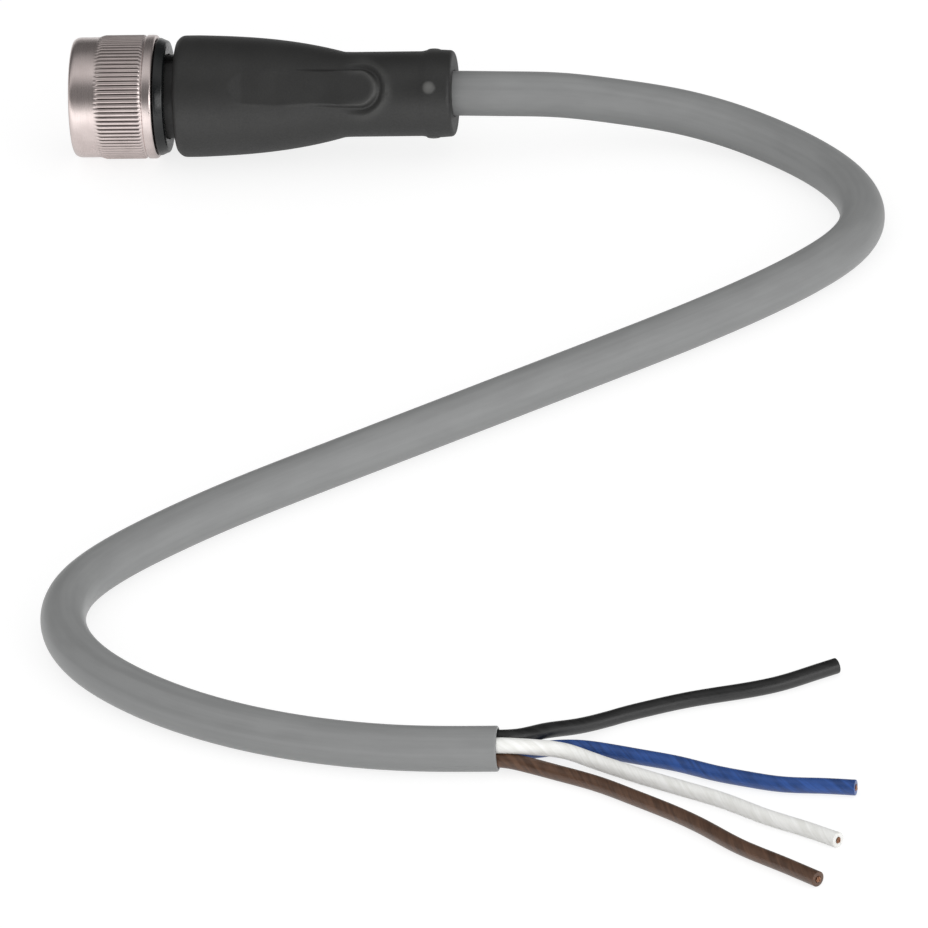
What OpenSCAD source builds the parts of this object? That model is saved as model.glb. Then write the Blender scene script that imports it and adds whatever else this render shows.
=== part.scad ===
// Straight female circular connector with an M12 coupling nut, moulded on a four-core cable
// with an open end.  The connector lies on its nut with its axis along X, the cable runs down
// to the surface and lies on it in an S, and the four cores fan out from the cut end.
// x = 0 is the mating face of the contact carrier, z = 0 is the connector's axis.

/* [Coupling nut] */
// Diameter over the knurl
nut_d = 14.74; // [14.4:0.02:15.4]
// Length of the nut
nut_len = 10; // [9.3:0.1:10.5]
// How far the nut stands in front of the mating face
nut_lead = 0.7; // [0.2:0.1:0.8]
// How far the plain front band lies below the knurl
nut_band_drop = 0.22; // [0.2:0.01:0.35]
// Length of the plain front band
nut_band_len = 2.9; // [2:0.1:3.2]
// Length of the slope between the front band and the knurl
knurl_slope = 1; // [0.3:0.1:1.2]
// Length of the polished band behind the knurl
nut_rear_band_len = 1.3; // [0.8:0.1:1.8]
// Number of knurl ridges
knurl_count = 84; // [60:2:96]
// Height of a knurl ridge
knurl_depth = 0.16; // [0.1:0.01:0.2]
// Chamfer on the nut's front edge
nut_chamfer = 0.45; // [0.2:0.05:0.6]
// Minor diameter of the M12 x 1 internal thread
thread_minor_d = 10.92; // [10.9:0.01:10.96]
// Length of the thread from the front face
thread_len = 6; // [5:0.1:6.2]
// Diameter of the relief behind the thread
relief_d = 12.1; // [12:0.05:12.4]
// Thickness of the shoulder that the retaining ring holds
shoulder_t = 0.9; // [0.7:0.05:1]
// Thickness of the nut's wall over the ring's collar
nut_lip_t = 1.05; // [1:0.01:1.2]

/* [Detent ring] */
// How far the ring lies below the knurl where it meets the nut
ring_drop = 0.38; // [0.3:0.01:0.6]
// How far the ring's outside falls towards its rear edge
ring_taper = 0.28; // [0.1:0.01:0.4]
// Length of the ring behind the nut
ring_len = 1.2; // [1:0.05:1.6]
// Length of the collar inside the nut
collar_len = 0.65; // [0.5:0.05:0.7]
// Height of the snap bead on the collar
bead_h = 0.15; // [0.1:0.01:0.2]
// Number of keys that stop the ring from turning
key_count = 2; // [2:1:4]
// Width of a key
key_w = 1.4; // [1:0.1:2]
// Height of a key
key_h = 0.4; // [0.3:0.05:0.45]

/* [Contact carrier] */
// Diameter of the carrier's plug-in barrel
carrier_d = 8.3; // [8.2:0.02:8.34]
// Length of the barrel in front of the retaining ring
carrier_len = 6.4; // [6:0.1:6.5]
// Diameter of the retaining ring that holds the nut
retainer_d = 10.7; // [10.6:0.02:10.8]
// Thickness of the retaining ring
retainer_t = 0.9; // [0.7:0.05:1]
// Diameter of the rear barrel inside the grip
barrel_d = 7.6; // [7.4:0.02:7.66]
// Length of the rear barrel
barrel_len = 5.7; // [5:0.1:6]
// Diameter of the seat under the seal ring
seat_d = 7.8; // [7.7:0.02:7.82]
// Width of the coding keyway
keyway_w = 1.2; // [1:0.05:1.4]
// Depth of the coding keyway
keyway_depth = 0.7; // [0.5:0.05:0.8]
// Chamfer round the mating face
carrier_chamfer = 0.3; // [0.1:0.05:0.4]

/* [Contacts] */
// Number of contacts
contact_count = 4; // [4]
// Diameter of the circle that the contacts stand on
contact_pcd = 5; // [4.9:0.02:5.1]
// Diameter of the entry hole in front of each contact
entry_d = 1.4; // [1.38:0.01:1.5]
// Depth of the entry hole
entry_depth = 0.8; // [0.6:0.1:1.2]
// Outer diameter of a socket contact
contact_d = 1.7; // [1.64:0.02:1.74]
// Bore of a socket contact
socket_d = 1.04; // [1.02:0.01:1.1]
// Depth of the socket
socket_depth = 5; // [4.5:0.1:5.6]
// Width of the slot that splits the socket into springs
slot_w = 0.2; // [0.15:0.01:0.3]
// Length of that slot
slot_len = 3.6; // [3:0.1:4]
// Diameter of the waist in front of the crimp
contact_waist_d = 1.3; // [1.2:0.05:1.5]
// Length of the crimp barrel
crimp_len = 3; // [2.5:0.1:3.5]

/* [Seal ring] */
// Width and height of the seal ring's section
seal_w = 1.15; // [1:0.05:1.2]

/* [Grip] */
// Diameter of the neck that the nut turns on
neck_d = 9.95; // [9.8:0.01:10]
// Distance from the mating face to the front of the grip
grip_x0 = 11.75; // [11.6:0.05:12.2]
// Length of the grip
grip_len = 33.1; // [33:0.1:38]
// How far the fullest part of the grip lies below the knurl
grip_drop = 0.13; // [0.05:0.01:0.3]
// Diameter of the waist
waist_d = 10.16; // [9.8:0.02:10.4]
// Distance from the grip's front to the waist
waist_from = 19.95; // [19.5:0.05:20.5]
// Diameter of the band at the rear end
rear_band_d = 10.5; // [10.3:0.02:11]
// Length of the rear band
rear_band_len = 4; // [3.6:0.1:5]
// Rounding of the grip's front edge
grip_front_round = 0.45; // [0.3:0.05:0.9]
// Rounding of the rear edge
grip_rear_round = 0.5; // [0.3:0.05:0.6]
// Angle of the near thumb pad round the axis, above the horizontal
pad_clock = 36; // [0:1:90]
// Width of a thumb pad
pad_w = 4.6; // [4:0.1:5.4]
// Distance from the grip's front to the round tip of the thumb pads
pad_tip = 24.6; // [24:0.1:25.4]
// Height of the pads above the waist near their tip
pad_step = 0.36; // [0.3:0.02:0.5]
// Distance from the grip's front to the front end of the pads
pad_root = 6; // [5:0.1:7]
// How deep the pads sink into the full front of the grip
pad_sink = 0.52; // [0.4:0.02:0.6]
// Number of grip dots round the rear band
dot_count = 4; // [2:1:6]
// Diameter of a dot
dot_d = 1.6; // [1.2:0.1:2]
// Height of a dot above the band
dot_h = 0.14; // [0.08:0.01:0.2]

/* [Inner mould] */
// Diameter of the inner mould behind the carrier
mould_d = 8.7; // [8.6:0.05:9]
// Diameter of the inner mould at the cable
mould_rear_d = 6.8; // [6.6:0.05:7.2]
// Length of the inner mould
mould_len = 20; // [18:0.5:21]

/* [Cable] */
// Diameter of the cable
cable_d = 5.35; // [5.2:0.05:5.5]
// Diameter of an insulated core
core_d = 1.86; // [1.8:0.02:1.92]
// Diameter of the stranded conductor
conductor_d = 0.8; // [0.6:0.05:0.9]
// How far the cut conductors stand out of their insulation
conductor_out = 0.3; // [0.2:0.05:0.6]

/* [Clearances] */
// Radial clearance of the nut on the neck and on the ring's collar
running_gap = 0.07; // [0.04:0.01:0.09]
// Radial and side clearance of the sliding ring
slide_gap = 0.12; // [0.08:0.01:0.15]
// Axial clearance between the nut and the pieces that hold it
axial_gap = 0.1; // [0.06:0.01:0.12]
// Clearance between pieces that are moulded or pressed together
fit_gap = 0.03; // [0.02:0.01:0.05]
// Clearance of a core in the inner mould and of the cable in the grip
core_gap = 0.05; // [0.03:0.01:0.08]

/* [Hidden] */
$fn = 64;
eps = 0.01;

// Stations along the axis
nut_x0 = -nut_lead;
nut_x1 = nut_x0 + nut_len;
retainer_x1 = carrier_len + retainer_t;
shoulder_x0 = retainer_x1 + axial_gap;
shoulder_x1 = shoulder_x0 + shoulder_t;
barrel_x1 = retainer_x1 + barrel_len;
collar_x0 = nut_x1 - collar_len;
ring_x0 = nut_x1 + axial_gap;
ring_x1 = ring_x0 + ring_len;
neck_x0 = retainer_x1 + fit_gap;
waist_x = grip_x0 + waist_from;
grip_x1 = grip_x0 + grip_len;
band_x0 = grip_x1 - rear_band_len;
pad_root_x = grip_x0 + pad_root;
pad_x1 = grip_x0 + pad_tip;
mould_x0 = barrel_x1 + fit_gap;
mould_x1 = mould_x0 + mould_len;

// Radii
nut_r = nut_d / 2;
neck_r = neck_d / 2;
nut_band_r = nut_r - nut_band_drop;
collar_r = nut_r - nut_lip_t - running_gap;
ring_r = nut_r - ring_drop;
grip_r = nut_r - grip_drop;
waist_r = waist_d / 2;
cable_r = cable_d / 2;
core_r = core_d / 2;
surface_z = -nut_r;

// Turns +Z into line with a thumb pad, a dot and the keyway
dot_turn = 90 - pad_clock;
// Contacts 1 to 4 stand on the diagonals, the keyway lies between 1 and 2
contact_angles = [135, 45, -45, -135];
core_colours = ["#5b4231", "#eceae6", "#2f4f9e", "#242422"];
// The cores spread from this radius at the cable to the contacts' circle
core_in_r = 1.6;
core_tilt = atan((contact_pcd / 2 - core_in_r) / mould_len);
// In the cable the four cores lie in a square
bundle_r = core_d / sqrt(2) + 0.02;

// Route of the cable from the grip's rear face: distance along X, distance along Y, and how
// far it has come down from the axis (0) to lie on the surface (1)
cable_route = [[0, 0, 0], [6, 0, 0.03], [12.2, 0.7, 0.16], [19.2, 1.2, 0.42],
    [26.2, 0.6, 0.64], [33.3, -1.6, 0.86], [39.2, -5.3, 0.98], [44.2, -10.1, 1],
    [47.8, -14.9, 1], [50.2, -20.2, 1], [50.9, -25.8, 1], [49.7, -30.8, 1], [46.6, -36.1, 1],
    [40.7, -43.1, 1], [33.9, -49.8, 1], [24.9, -57.8, 1], [14, -67.2, 1], [3.2, -76.5, 1],
    [-7.5, -85.7, 1], [-16.4, -93.6, 1], [-24.2, -101.6, 1], [-29.6, -108.4, 1],
    [-32.5, -114.2, 1], [-33.3, -120.2, 1], [-32.1, -126.4, 1], [-29, -132.4, 1],
    [-24, -138.2, 1], [-17.1, -143.8, 1], [-8.2, -148.8, 1], [1.5, -152.2, 1],
    [11.3, -153.9, 1], [21.5, -154.2, 1]];

// Routes of the free cores from the cable's cut end: distance along X, distance along Y from
// the cable's middle, and how far the core has come down to lie on the surface
brown_route = [[2.9, -1.1, 0.6], [7.3, -2.9, 1], [12.1, -5.6, 1], [16.5, -8.8, 1],
    [21.2, -12.4, 1], [25.5, -16.2, 1], [30.3, -21, 1], [35.2, -24.9, 1], [40.1, -28.9, 1]];
white_route = [[1.9, -0.6, 0.1], [4.8, 0.4, 0.4], [7.8, 0.7, 0.66], [10.1, -0.1, 0.82],
    [13.5, -1.9, 0.94], [17.4, -4.1, 1], [22.2, -6.9, 1], [27.5, -10.1, 1], [32.8, -14, 1],
    [37.2, -16.7, 1], [41.5, -19.6, 1]];
blue_route = [[1.9, 1.5, 0.4], [4.8, 2.9, 1], [8.2, 3.3, 1], [12.1, 2.4, 1], [16.5, 0.8, 1],
    [21.4, -1.1, 1], [25.1, -3, 1], [29.6, -4.8, 1], [33.9, -6.1, 1], [38.3, -6.5, 1],
    [42.3, -7, 1]];
black_route = [[1.9, 1.6, 0.1], [4.8, 4.4, 0.4], [8.2, 7.3, 0.78], [12.1, 10.4, 1],
    [16.5, 12.8, 1], [21.3, 14.9, 1], [27.2, 16.8, 1], [31.1, 18.5, 1], [34.5, 20.8, 1],
    [37.1, 22.6, 1]];
wire_routes = [brown_route, white_route, blue_route, black_route];
// Places of the cores in the cable's end: brown low and white high in front, blue low and
// black high behind
wire_angles = [-135, 135, -45, 45];

cable_end = cable_route[len(cable_route) - 1];
cut_x = grip_x1 + cable_end[0];
cut_y = cable_end[1];
cable_z = surface_z + cable_r;
wire_z = surface_z + core_r;

// ---- general shapes ----

// A body turned about the X axis from [radius, x] points
module turned(profile) {
    rotate([0, 90, 0]) rotate_extrude() polygon(profile);
}

// A cylinder along X
module along_x(r, x0, x1) {
    translate([x0, 0, 0]) rotate([0, 90, 0]) cylinder(r = r, h = x1 - x0);
}

// A block along X, middle on the axis, for keys and keyways that point along +Z
module key_block(w, z0, z1, x0, x1) {
    translate([x0, -w / 2, z0]) cube([x1 - x0, w, z1 - z0]);
}

// Points of an arc in a turned profile
function arc(r, x, radius, from, to, steps) =
    [for (i = [0:steps]) let (a = from + (to - from) * i / steps)
        [r + radius * cos(a), x + radius * sin(a)]];

function unit(v) = v / norm(v);

// Direction of the route at one of its points; both ends run along X
function heading(route, i) =
    i == 0 || i == len(route) - 1 ? [1, 0, 0] : unit(route[i + 1] - route[i - 1]);

// Direction at a point of a core: it leaves the cable along X and its tip runs straight on
function wire_heading(route, i) =
    i == 0 ? [1, 0, 0]
    : i == len(route) - 1 ? unit(route[i] - route[i - 1])
    : unit(route[i + 1] - route[i - 1]);

// One ring of points round the route
function ring_at(p, t, r, sides) =
    let (side = unit(cross(t, [0, 0, 1])), up = cross(side, t))
    [for (k = [0:sides - 1]) let (a = 360 * k / sides)
        p + r * (cos(a) * side + sin(a) * up)];

// A solid tube from rings of points
module tube(rings, sides) {
    count = len(rings);
    points = [for (ring = rings) each ring];
    walls = [for (i = [0:count - 2], k = [0:sides - 1]) let (n = (k + 1) % sides)
        [i * sides + k, (i + 1) * sides + k, (i + 1) * sides + n, i * sides + n]];
    start = [for (k = [0:sides - 1]) k];
    finish = [for (k = [sides - 1:-1:0]) (count - 1) * sides + k];
    polyhedron(points, concat(walls, [start, finish]), convexity = 4);
}

// ---- nut and ring ----

module knurled_section() {
    root = nut_r - knurl_depth;
    step = 360 / knurl_count;
    polygon([for (i = [0:knurl_count - 1]) each
        [for (p = [[0, root], [0.5, nut_r]]) let (a = (i + p[0]) * step)
            [p[1] * cos(a), p[1] * sin(a)]]]);
}

// Outside of the nut: plain band, knurl between two slopes, narrow valley, polished rear band
module nut_outside() {
    band_r = nut_band_r;
    knurl_x0 = nut_x0 + nut_band_len;
    knurl_x1 = nut_x1 - nut_rear_band_len;
    valley_r = nut_r - knurl_depth - 0.05;
    over_r = nut_r + 0.05;
    turned([[0, nut_x0], [band_r - nut_chamfer, nut_x0],
        [band_r - nut_chamfer / 4, nut_x0 + nut_chamfer * 0.75],
        [band_r, nut_x0 + nut_chamfer * 1.5], [band_r, knurl_x0], [0, knurl_x0]]);
    intersection() {
        turned([[0, knurl_x0], [band_r, knurl_x0], [over_r, knurl_x0 + knurl_slope],
            [over_r, knurl_x1 - 0.3], [valley_r, knurl_x1], [0, knurl_x1]]);
        translate([knurl_x0 - eps, 0, 0]) rotate([0, 90, 0])
            linear_extrude(knurl_x1 - knurl_x0 + 2 * eps) knurled_section();
    }
    turned([[0, knurl_x1], [valley_r, knurl_x1], [nut_r, knurl_x1 + 0.2],
        [nut_r, nut_x1 - 0.5], [nut_r - 0.3, nut_x1], [0, nut_x1]]);
}

module coupling_nut() {
    bore_chamfer = 0.5;
    groove_r = collar_r + bead_h + running_gap;
    counterbore_r = collar_r + running_gap;
    bead_x = collar_x0 + collar_len / 2;
    color("#b9b0ab") difference() {
        nut_outside();
        turned([[0, nut_x0 - eps], [thread_minor_d / 2 + bore_chamfer, nut_x0 - eps],
            [thread_minor_d / 2, nut_x0 + bore_chamfer],
            [thread_minor_d / 2, nut_x0 + thread_len],
            [relief_d / 2, nut_x0 + thread_len + 0.3], [relief_d / 2, shoulder_x0],
            [neck_r + running_gap, shoulder_x0], [neck_r + running_gap, shoulder_x1],
            [counterbore_r, shoulder_x1], [counterbore_r, bead_x - bead_h - axial_gap],
            [groove_r, bead_x - axial_gap], [groove_r, bead_x + axial_gap],
            [counterbore_r, bead_x + bead_h + axial_gap],
            [counterbore_r, nut_x1 + eps], [0, nut_x1 + eps]]);
    }
}

module detent_ring() {
    bead_x = collar_x0 + collar_len / 2;
    bore_r = neck_r + slide_gap;
    color("#1d2124") {
        difference() {
            turned([[0, collar_x0], [collar_r - 0.1, collar_x0], [collar_r, collar_x0 + 0.1],
                [collar_r, bead_x - bead_h], [collar_r + bead_h, bead_x],
                [collar_r, bead_x + bead_h], [collar_r, ring_x0], [ring_r, ring_x0],
                [ring_r, ring_x0 + 0.3], [ring_r - ring_taper, ring_x1 - 0.2],
                [ring_r - ring_taper - 0.2, ring_x1], [0, ring_x1]]);
            difference() {
                along_x(bore_r, collar_x0 - eps, ring_x1 + eps);
                for (i = [0:key_count - 1]) rotate([360 * i / key_count, 0, 0])
                    key_block(key_w, neck_r - key_h, bore_r + 1, ring_x0, ring_x1);
            }
        }
    }
}

// ---- insert ----

module at_contact(i) {
    rotate([contact_angles[i] - 90, 0, 0]) translate([0, 0, contact_pcd / 2]) children();
}

module in_line(i) {
    rotate([dot_turn, 0, 0]) at_contact(i) children();
}

module contact_carrier() {
    r = carrier_d / 2;
    cavity_r = contact_d / 2 + fit_gap;
    seat_x0 = carrier_len - seal_w;
    color("#26282a") rotate([dot_turn, 0, 0]) difference() {
        turned([[0, 0], [r - carrier_chamfer, 0], [r, carrier_chamfer], [r, seat_x0],
            [seat_d / 2, seat_x0], [seat_d / 2, carrier_len],
            [barrel_d / 2, carrier_len], [barrel_d / 2, barrel_x1], [0, barrel_x1]]);
        key_block(keyway_w, r - keyway_depth, r + 1, -eps, seat_x0 + 2 * fit_gap);
        for (i = [0:contact_count - 1]) at_contact(i) {
            along_x(entry_d / 2, -eps, entry_depth + eps);
            along_x(cavity_r, entry_depth, barrel_x1 + eps);
        }
    }
}

module contact(i) {
    r = contact_d / 2;
    x0 = entry_depth + fit_gap;
    waist_x0 = x0 + socket_depth + 1;
    crimp_x0 = barrel_x1 - crimp_len;
    color("#d6a94a") in_line(i) difference() {
        turned([[0, x0], [r - 0.1, x0], [r, x0 + 0.1], [r, waist_x0],
            [contact_waist_d / 2, waist_x0 + 0.3], [contact_waist_d / 2, crimp_x0 - 0.3],
            [r, crimp_x0], [r, barrel_x1], [0, barrel_x1]]);
        along_x(socket_d / 2, x0 - eps, x0 + socket_depth);
        translate([x0 - eps, -slot_w / 2, -r - eps])
            cube([slot_len, slot_w, contact_d + 2 * eps]);
    }
}

// Pressed on from behind, against the step behind the carrier's front barrel
module retaining_ring() {
    bore_r = barrel_d / 2 + fit_gap;
    lead = 0.15;
    color("#303234") turned([[bore_r, carrier_len + fit_gap],
        [retainer_d / 2 - lead, carrier_len + fit_gap],
        [retainer_d / 2, carrier_len + fit_gap + lead], [retainer_d / 2, retainer_x1],
        [bore_r, retainer_x1]]);
}

module seal_ring() {
    inner = seat_d / 2 + fit_gap;
    outer = inner + seal_w;
    x1 = carrier_len - fit_gap;
    x0 = x1 - seal_w + 2 * fit_gap;
    lip = 0.25;
    color("#2b2b2b") turned([[inner, x0 + lip], [inner + lip, x0], [outer - lip, x0],
        [outer, x0 + lip], [outer, x1 - lip], [outer - lip, x1], [inner + lip, x1],
        [inner, x1 - lip]]);
}

// ---- grip ----

// The inner mould's outline, opened by a gap where the grip is moulded round it
module mould_outline(gap) {
    turned([[0, mould_x0 - gap], [mould_d / 2 + gap, mould_x0 - gap],
        [mould_d / 2 + gap, mould_x0 + 4], [mould_rear_d / 2 + gap, mould_x1 - 3],
        [mould_rear_d / 2 + gap, mould_x1], [0, mould_x1]]);
}

module core_inside(i, r) {
    in_line(i) translate([mould_x0, 0, 0]) rotate([0, core_tilt, 0])
        translate([-2, 0, 0]) rotate([0, 90, 0]) cylinder(r = r, h = mould_len + 4);
}

module inner_mould() {
    color("#3a3a3a") difference() {
        mould_outline(0);
        for (i = [0:contact_count - 1]) core_inside(i, core_r + core_gap);
    }
}

module core(i) {
    color(core_colours[i]) intersection() {
        core_inside(i, core_r);
        along_x(mould_d, mould_x0, mould_x1);
    }
}

// Outline of the grip along the axis: a full front, an easy taper, a waist and a rear band
module grip_body() {
    front_r = grip_front_round;
    taper = waist_from - 2.6;
    fall = grip_r - waist_r;
    shoulder_x = grip_x0 + 2.6;
    steps = 10;
    turned(concat([[0, neck_x0], [neck_r, neck_x0], [neck_r, grip_x0]],
        [[grip_r - 1.35 * front_r, grip_x0]],
        [[grip_r - 0.35 * front_r, grip_x0 + front_r],
            [grip_r, grip_x0 + 2.4 * front_r]],
        [for (i = [0:steps]) let (t = i / steps)
            [grip_r - fall * (0.25 * t + 0.75 * pow(t, 2.6)), shoulder_x + taper * t]],
        [[waist_r - 0.03, waist_x + 1], [waist_r - 0.03, band_x0],
            [rear_band_d / 2, band_x0 + 1.2], [rear_band_d / 2, band_x0 + 1.8],
            [rear_band_d / 2 - 0.1, grip_x1 - grip_rear_round]],
        arc(rear_band_d / 2 - 0.1 - grip_rear_round, grip_x1 - grip_rear_round,
            grip_rear_round, 15, 90, 4),
        [[0, grip_x1]]));
}

// A station along the thumb pads, as a share of the way from the grip's front to their tip
function pad_at(share) = grip_x0 + pad_tip * share;

// Outline of the two thumb pads, straight through the grip: straight sides and a round tip
module pad_outline() {
    tip_r = pad_w / 2;
    translate([0, 0, -grip_r]) linear_extrude(2 * grip_r) {
        translate([pad_root_x, -tip_r]) square([pad_x1 - tip_r - pad_root_x, pad_w]);
        translate([pad_x1 - tip_r, 0]) circle(r = tip_r);
    }
}

// The pads' flats, above and below: they run out of the full front, sink into the taper and
// stand up from the waist
module pad_flats() {
    top_r = waist_r + pad_step;
    flat = [[pad_root_x, grip_r], [pad_root_x + pad_w / 2, grip_r - pad_sink],
        [pad_at(0.42), grip_r - pad_sink - 0.2], [pad_at(0.5), top_r + 0.75],
        [pad_at(0.74), top_r + 0.2], [pad_x1, top_r - 0.15]];
    rotate([90, 0, 0]) linear_extrude(pad_w + 2, center = true)
        polygon(concat(flat, [for (i = [len(flat) - 1:-1:0]) [flat[i][0], -flat[i][1]]]));
}

// The pads' long edges are trimmed to this outline, flush with the taper at the front
module pad_trim() {
    turned([[0, pad_root_x], [grip_r - 0.13, pad_root_x], [grip_r - 0.34, pad_at(0.42)],
        [grip_r - 0.52, pad_at(0.5)], [waist_r + 1.2, pad_at(0.66)],
        [waist_r + 0.85, pad_at(0.82)], [waist_r + 0.65, pad_x1], [0, pad_x1]]);
}

module grip_dots() {
    for (i = [0:dot_count - 1]) rotate([dot_turn + 360 * i / dot_count, 0, 0])
        translate([band_x0 + 1.5, 0, rear_band_d / 2 - 0.4]) cylinder(d = dot_d, h = 0.4 + dot_h);
}

module grip() {
    color("#3a3b3b") difference() {
        union() {
            difference() {
                grip_body();
                rotate([dot_turn, 0, 0]) pad_outline();
            }
            rotate([dot_turn, 0, 0]) intersection() {
                pad_outline();
                pad_flats();
                pad_trim();
            }
            grip_dots();
        }
        along_x(barrel_d / 2 + fit_gap, neck_x0 - eps, mould_x0);
        mould_outline(fit_gap);
        along_x(cable_r + core_gap, mould_x1 - eps, grip_x1 + eps);
        for (i = [0:key_count - 1]) rotate([360 * i / key_count, 0, 0])
            key_block(key_w + 2 * slide_gap, neck_r - key_h - slide_gap, neck_r + 1,
                ring_x0 - axial_gap, grip_x0);
    }
}

// ---- cable and free cores ----

module cable() {
    lying = concat([[mould_x1, 0, 0]],
        [for (p = cable_route) [grip_x1 + p[0], p[1], cable_z * p[2]]]);
    sides = 12;
    rings = [for (i = [0:len(lying) - 1])
        ring_at(lying[i], i == 1 ? [1, 0, 0] : heading(lying, i), cable_r, sides)];
    color("#8a8b8b") tube(rings, sides);
}

function wire_start(i) = [cut_x, cut_y + bundle_r * cos(wire_angles[i]),
    cable_z + bundle_r * sin(wire_angles[i])];

function wire_points(i) = concat([wire_start(i)],
    [for (p = wire_routes[i]) let (z0 = wire_start(i)[2])
        [cut_x + p[0], cut_y + p[1], z0 + (wire_z - z0) * p[2]]]);

module wire(i) {
    path = wire_points(i);
    sides = 8;
    rings = [for (k = [0:len(path) - 1])
        ring_at(path[k], wire_heading(path, k), core_r, sides)];
    color(core_colours[i]) tube(rings, sides);
}

// The cut conductor stands out of the core's tip
module conductor(i) {
    path = wire_points(i);
    tip = path[len(path) - 1];
    way = wire_heading(path, len(path) - 1);
    color("#b8703f") translate(tip) rotate([0, 0, atan2(way[1], way[0])])
        rotate([0, 90, 0]) cylinder(d = conductor_d, h = conductor_out);
}

coupling_nut();
detent_ring();
contact_carrier();
retaining_ring();
contact(0);  // contact_1
contact(1);  // contact_2
contact(2);  // contact_3
contact(3);  // contact_4
seal_ring();
inner_mould();
grip();
core(0);  // core_brown
core(1);  // core_white
core(2);  // core_blue
core(3);  // core_black
cable();
wire(0);  // wire_brown
wire(1);  // wire_white
wire(2);  // wire_blue
wire(3);  // wire_black
conductor(0);  // conductor_brown
conductor(1);  // conductor_white
conductor(2);  // conductor_blue
conductor(3);  // conductor_black
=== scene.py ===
# A straight female M12 connector, moulded on a grey four-core cable whose end is cut open.
# The fixed frame gives the solids; the shapes below are worked out in millimetres and stand
# in its metres.
import math
import bpy
import numpy as np
from mathutils import Matrix, Vector


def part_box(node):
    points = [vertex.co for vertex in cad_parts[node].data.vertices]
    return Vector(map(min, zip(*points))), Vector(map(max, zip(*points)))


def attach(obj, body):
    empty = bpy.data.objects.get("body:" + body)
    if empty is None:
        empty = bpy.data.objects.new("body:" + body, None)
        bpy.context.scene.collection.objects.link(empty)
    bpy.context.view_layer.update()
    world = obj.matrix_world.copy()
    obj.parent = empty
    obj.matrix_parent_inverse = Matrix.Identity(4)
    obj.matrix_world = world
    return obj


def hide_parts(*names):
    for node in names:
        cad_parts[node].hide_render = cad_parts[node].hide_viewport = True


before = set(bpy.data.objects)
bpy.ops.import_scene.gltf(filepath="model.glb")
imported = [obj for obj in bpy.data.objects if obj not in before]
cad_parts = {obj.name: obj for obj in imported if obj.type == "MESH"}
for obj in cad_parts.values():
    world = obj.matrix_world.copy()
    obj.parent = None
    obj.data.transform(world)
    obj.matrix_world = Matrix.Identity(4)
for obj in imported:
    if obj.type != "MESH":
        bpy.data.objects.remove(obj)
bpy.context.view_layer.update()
mm = 0.001
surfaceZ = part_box("coupling_nut")[0].z  # the nut stands on the surface
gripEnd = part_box("grip")[1].x
print("frame loaded,", len(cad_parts), "nodes")


def hexColour(text):
    # sRGB hex to linear colour: divide by 12.92 in the dark end, otherwise a power of 2.4
    value = np.array([int(text[i:i + 2], 16) for i in (1, 3, 5)]) / 255
    linear = np.where(value <= 0.04045, value / 12.92, ((value + 0.055) / 1.055) ** 2.4)
    return (*[float(v) for v in linear], 1.0)


def addNode(tree, kind, settings=None, links=None, stops=(), **choices):
    # choices set the node's own menus, settings its socket values, links its incoming wires,
    # and stops the rising (place, colour) marks of a colour ramp
    node = tree.nodes.new(kind)
    for key, value in choices.items():
        setattr(node, key, value)
    for key, value in (settings or {}).items():
        node.inputs[key].default_value = value
    for key, source in (links or {}).items():
        tree.links.new(source, node.inputs[key])
    for n, (place, colour) in enumerate(stops):
        mark = node.color_ramp.elements[n] if n < 2 else node.color_ramp.elements.new(place)
        mark.position = place
        mark.color = hexColour(colour) if isinstance(colour, str) else colour
    return node


def newMaterial(name, settings):
    # a material with its Principled shader; settings go straight onto the shader's sockets
    material = bpy.data.materials.new(name)
    material.use_nodes = True
    shader = material.node_tree.nodes["Principled BSDF"]
    for key, value in settings.items():
        shader.inputs[key].default_value = value
    return material, material.node_tree, shader


def smoothLine(points, startWay, endWay, step):
    # clamped cubic spline: the slopes at the points solve one banded system that makes the
    # curvature continuous, then each stretch is a Hermite cubic of the distance along it
    chord = np.linalg.norm(np.diff(points, axis=0), axis=1)
    station = np.concatenate([[0], np.cumsum(chord)])
    count = len(points)
    inner = np.arange(1, count - 1)
    before, after = chord[:-1, None], chord[1:, None]
    system = np.eye(count)
    system[inner, inner - 1] = after[:, 0]
    system[inner, inner] = 2 * (before + after)[:, 0]
    system[inner, inner + 1] = before[:, 0]
    rise = np.diff(points, axis=0) / chord[:, None]
    target = np.empty_like(points)
    target[0], target[-1] = startWay, endWay
    target[1:-1] = 3 * (after * rise[:-1] + before * rise[1:])
    slope = np.linalg.solve(system, target)
    at = np.linspace(0, station[-1], int(station[-1] / step) + 2)
    k = np.clip(np.searchsorted(station, at, side="right") - 1, 0, count - 2)
    h = chord[k, None]
    t = (at - station[k])[:, None] / h
    return (points[k] * (1 + 2 * t) * (1 - t) ** 2 + points[k + 1] * t ** 2 * (3 - 2 * t)
            + slope[k] * h * t * (1 - t) ** 2 - slope[k + 1] * h * t ** 2 * (1 - t))


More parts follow.
